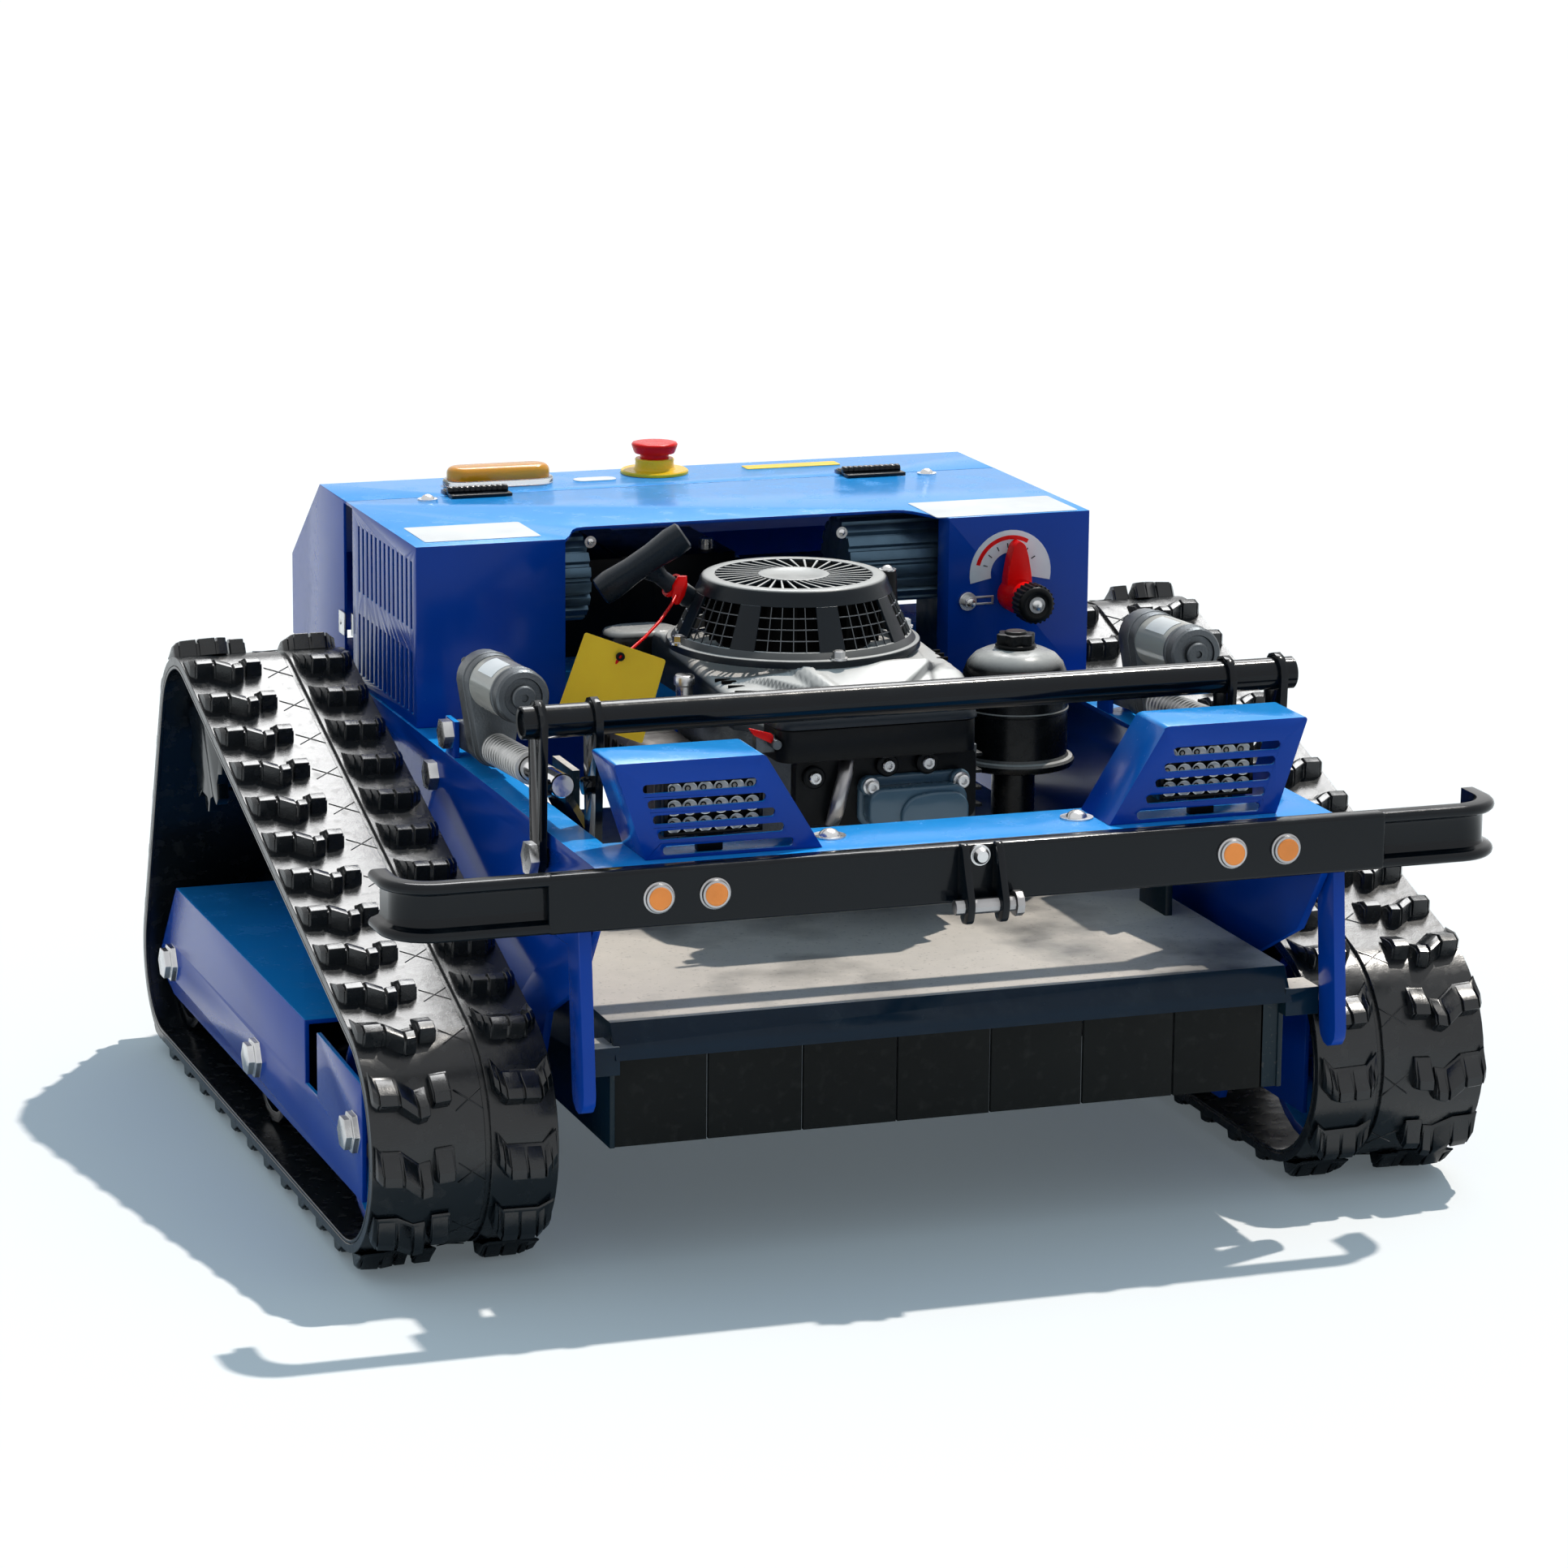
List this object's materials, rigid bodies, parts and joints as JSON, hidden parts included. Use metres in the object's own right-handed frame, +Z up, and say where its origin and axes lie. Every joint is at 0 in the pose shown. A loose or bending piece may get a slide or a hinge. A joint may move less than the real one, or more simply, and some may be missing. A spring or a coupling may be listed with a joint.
{
  "type": "remote control slope mower",
  "caption": "Low tracked slope mower with a vertical shaft engine on a lifting deck, front flaps, guarded lamps, a channel bumper and a hinged rear cover.",
  "frame": {"origin": "on the ground under the middle of the machine's box", "axes": "+X across the machine to the right when seen from the front, -Y forwards, +Z up"},
  "size_m": [0.922, 0.948, 0.5136],
  "materials": {
    "blue_paint": "gloss",
    "deck_paint": "satin, dusty",
    "black_paint": "gloss",
    "track_rubber": "moulded, slightly shiny",
    "cast_alloy": "as cast",
    "grey_alloy": "satin",
    "black_plastic": "satin",
    "bright_steel": "machined",
    "red_plastic": "gloss",
    "yellow_plastic": "gloss",
    "amber_lens": "gloss",
    "lamp_body": "clear lenses in rows"
  },
  "bodies": {
    "carrier": {"chassis_frame": "blue_paint", "front_hood": "blue_paint", "front_bumper": "black_paint", "battery_pack": "black_plastic", "control_box": "cast_alloy", "track_frame_left": "blue_paint", "track_frame_right": "blue_paint", "track_belt_left": "track_rubber", "track_belt_right": "track_rubber", "drive_motor_left": "cast_alloy", "drive_motor_right": "cast_alloy", "cover_hinge_left": "black_plastic", "cover_hinge_right": "black_plastic", "lamp_guard_left": "blue_paint", "lamp_guard_right": "blue_paint", "work_lamp_left": "lamp_body", "work_lamp_right": "lamp_body"},
    "rear_cover_group": {"rear_cover": "blue_paint", "stop_button_base": "yellow_plastic", "beacon_lamp": "amber_lens"},
    "stop_button_head": {"stop_button": "red_plastic"},
    "throttle": {"throttle_lever": "red_plastic"},
    "throttle_clamp": {"throttle_knob": "black_plastic"},
    "tow_pin_body": {"tow_pin": "bright_steel"},
    "deck_group": {"mower_deck": "deck_paint", "engine_block": "cast_alloy", "engine_shroud": "black_plastic", "fan_cover": "black_plastic", "air_cleaner": "black_plastic", "valve_cover": "cast_alloy", "muffler": "bright_steel", "fuel_tank": "black_plastic", "deck_arm_left": "blue_paint", "deck_arm_right": "blue_paint"},
    "cutter": {"cutter_blade": "bright_steel", "blade_spindle": "bright_steel"},
    "starter_handle": {"pull_handle": "black_plastic"},
    "fuel_cap_body": {"fuel_cap": "black_plastic"},
    "lift_frame": {"lift_lever_left": "black_paint", "lift_lever_right": "black_paint", "lift_cross_tube": "black_paint"},
    "drive_sprocket_left_body": {"drive_sprocket_left": "black_paint"},
    "front_idler_left_body": {"front_idler_left": "blue_paint"},
    "rear_idler_left_body": {"rear_idler_left": "black_paint"},
    "mid_roller_left_body": {"mid_roller_left": "black_paint"},
    "actuator_left": {"lift_actuator_left": "grey_alloy"},
    "rod_left": {"actuator_rod_left": "bright_steel"},
    "drive_sprocket_right_body": {"drive_sprocket_right": "black_paint"},
    "front_idler_right_body": {"front_idler_right": "blue_paint"},
    "rear_idler_right_body": {"rear_idler_right": "black_paint"},
    "mid_roller_right_body": {"mid_roller_right": "black_paint"},
    "actuator_right": {"lift_actuator_right": "grey_alloy"},
    "rod_right": {"actuator_rod_right": "bright_steel"},
    "flap_1": {"front_flap_1": "track_rubber"},
    "flap_2": {"front_flap_2": "track_rubber"},
    "flap_3": {"front_flap_3": "track_rubber"},
    "flap_4": {"front_flap_4": "track_rubber"},
    "flap_5": {"front_flap_5": "track_rubber"},
    "flap_6": {"front_flap_6": "track_rubber"},
    "flap_7": {"front_flap_7": "track_rubber"}
  },
  "joints": [
    {"name": "drive_left", "type": "hinge", "parent": "carrier", "child": "drive_sprocket_left_body", "pos_m": [-0.393, 0.227, 0.298], "axis": [1, 0, 0], "continuous": true},
    {"name": "front_idler_left_turn", "type": "hinge", "parent": "carrier", "child": "front_idler_left_body", "pos_m": [-0.393, -0.301, 0.106], "axis": [1, 0, 0], "continuous": true},
    {"name": "rear_idler_left_turn", "type": "hinge", "parent": "carrier", "child": "rear_idler_left_body", "pos_m": [-0.393, 0.308, 0.084], "axis": [1, 0, 0], "continuous": true},
    {"name": "mid_roller_left_turn", "type": "hinge", "parent": "carrier", "child": "mid_roller_left_body", "pos_m": [-0.393, 0.008, 0.0804], "axis": [1, 0, 0], "continuous": true},
    {"name": "drive_right", "type": "hinge", "parent": "carrier", "child": "drive_sprocket_right_body", "pos_m": [0.393, 0.227, 0.298], "axis": [1, 0, 0], "continuous": true},
    {"name": "front_idler_right_turn", "type": "hinge", "parent": "carrier", "child": "front_idler_right_body", "pos_m": [0.393, -0.301, 0.106], "axis": [1, 0, 0], "continuous": true},
    {"name": "rear_idler_right_turn", "type": "hinge", "parent": "carrier", "child": "rear_idler_right_body", "pos_m": [0.393, 0.308, 0.084], "axis": [1, 0, 0], "continuous": true},
    {"name": "mid_roller_right_turn", "type": "hinge", "parent": "carrier", "child": "mid_roller_right_body", "pos_m": [0.393, 0.008, 0.0804], "axis": [1, 0, 0], "continuous": true},
    {"name": "deck_lift", "type": "slide", "parent": "carrier", "child": "deck_group", "axis": [0, 0, -1], "range_m": [0, 0.09016]},
    {"name": "lift_swing", "type": "hinge", "parent": "carrier", "child": "lift_frame", "pos_m": [0, -0.31, 0.313], "axis": [-1, 0, 0], "range_deg": [-0.5, 50.5]},
    {"name": "actuator_tilt_left", "type": "hinge", "parent": "carrier", "child": "actuator_left", "pos_m": [-0.285, -0.04, 0.352], "axis": [1, 0, 0], "range_deg": [-0.2, 4.45]},
    {"name": "rod_travel_left", "type": "slide", "parent": "actuator_left", "child": "rod_left", "axis": [0, 0.9985, -0.0555], "range_m": [-0.0005, 0.04224]},
    {"name": "actuator_tilt_right", "type": "hinge", "parent": "carrier", "child": "actuator_right", "pos_m": [0.285, -0.04, 0.352], "axis": [1, 0, 0], "range_deg": [-0.2, 4.45]},
    {"name": "rod_travel_right", "type": "slide", "parent": "actuator_right", "child": "rod_right", "axis": [0, 0.9985, -0.0555], "range_m": [-0.0005, 0.04224]},
    {"name": "blade_spin", "type": "hinge", "parent": "deck_group", "child": "cutter", "pos_m": [0, -0.024, 0.12], "axis": [0, 0, -1], "continuous": true},
    {"name": "flap_swing_1", "type": "hinge", "parent": "deck_group", "child": "flap_1", "pos_m": [-0.238, -0.399, 0.1895], "axis": [1, 0, 0], "range_deg": [-30, 70]},
    {"name": "flap_swing_2", "type": "hinge", "parent": "deck_group", "child": "flap_2", "pos_m": [-0.161, -0.399, 0.1895], "axis": [1, 0, 0], "range_deg": [-30, 70]},
    {"name": "flap_swing_3", "type": "hinge", "parent": "deck_group", "child": "flap_3", "pos_m": [-0.084, -0.399, 0.1895], "axis": [1, 0, 0], "range_deg": [-30, 70]},
    {"name": "flap_swing_4", "type": "hinge", "parent": "deck_group", "child": "flap_4", "pos_m": [-0.007, -0.399, 0.1895], "axis": [1, 0, 0], "range_deg": [-30, 70]},
    {"name": "flap_swing_5", "type": "hinge", "parent": "deck_group", "child": "flap_5", "pos_m": [0.07, -0.399, 0.1895], "axis": [1, 0, 0], "range_deg": [-30, 70]},
    {"name": "flap_swing_6", "type": "hinge", "parent": "deck_group", "child": "flap_6", "pos_m": [0.147, -0.399, 0.1895], "axis": [1, 0, 0], "range_deg": [-30, 70]},
    {"name": "flap_swing_7", "type": "hinge", "parent": "deck_group", "child": "flap_7", "pos_m": [0.224, -0.399, 0.1895], "axis": [1, 0, 0], "range_deg": [-30, 70]},
    {"name": "cover_hinge", "type": "hinge", "parent": "carrier", "child": "rear_cover_group", "pos_m": [0, 0.28475, 0.4903], "axis": [1, 0, 0], "range_deg": [0, 85]},
    {"name": "stop_press", "type": "slide", "parent": "rear_cover_group", "child": "stop_button_head", "axis": [0, 0, -1], "range_m": [0, 0.004]},
    {"name": "throttle_swing", "type": "hinge", "parent": "carrier", "child": "throttle", "pos_m": [0.229, 0.043, 0.418], "axis": [0, 1, 0], "range_deg": [-70, 70]},
    {"name": "throttle_knob_turn", "type": "hinge", "parent": "throttle", "child": "throttle_clamp", "pos_m": [0.229, 0.0145, 0.418], "axis": [0, 1, 0], "continuous": true},
    {"name": "starter_pull", "type": "slide", "parent": "deck_group", "child": "starter_handle", "axis": [-0.796, -0.0995, 0.597], "range_m": [0, 0.06], "stiffness_N_per_m": 60, "springref_m": -0.02},
    {"name": "fuel_cap_turn", "type": "hinge", "parent": "deck_group", "child": "fuel_cap_body", "pos_m": [0.172, -0.088, 0.411], "axis": [0, 0, 1], "range_deg": [0, 300]},
    {"name": "tow_pin_pull", "type": "slide", "parent": "carrier", "child": "tow_pin_body", "axis": [1, 0, 0], "range_m": [0, 0.05]}
  ],
  "couplings": [
    {"joint": "front_idler_left_turn", "follows": "drive_left", "ratio": 0.7701},
    {"joint": "rear_idler_left_turn", "follows": "drive_left", "ratio": 1.0308},
    {"joint": "mid_roller_left_turn", "follows": "drive_left", "ratio": 1.1879},
    {"joint": "front_idler_right_turn", "follows": "drive_right", "ratio": 0.7701},
    {"joint": "rear_idler_right_turn", "follows": "drive_right", "ratio": 1.0308},
    {"joint": "mid_roller_right_turn", "follows": "drive_right", "ratio": 1.1879},
    {"joint": "lift_swing", "follows": "deck_lift", "rad_per_m": 9.6789},
    {"joint": "actuator_tilt_left", "follows": "deck_lift", "rad_per_m": 0.8236},
    {"joint": "rod_travel_left", "follows": "deck_lift", "ratio": 0.463},
    {"joint": "actuator_tilt_right", "follows": "deck_lift", "rad_per_m": 0.8236},
    {"joint": "rod_travel_right", "follows": "deck_lift", "ratio": 0.463}
  ]
}
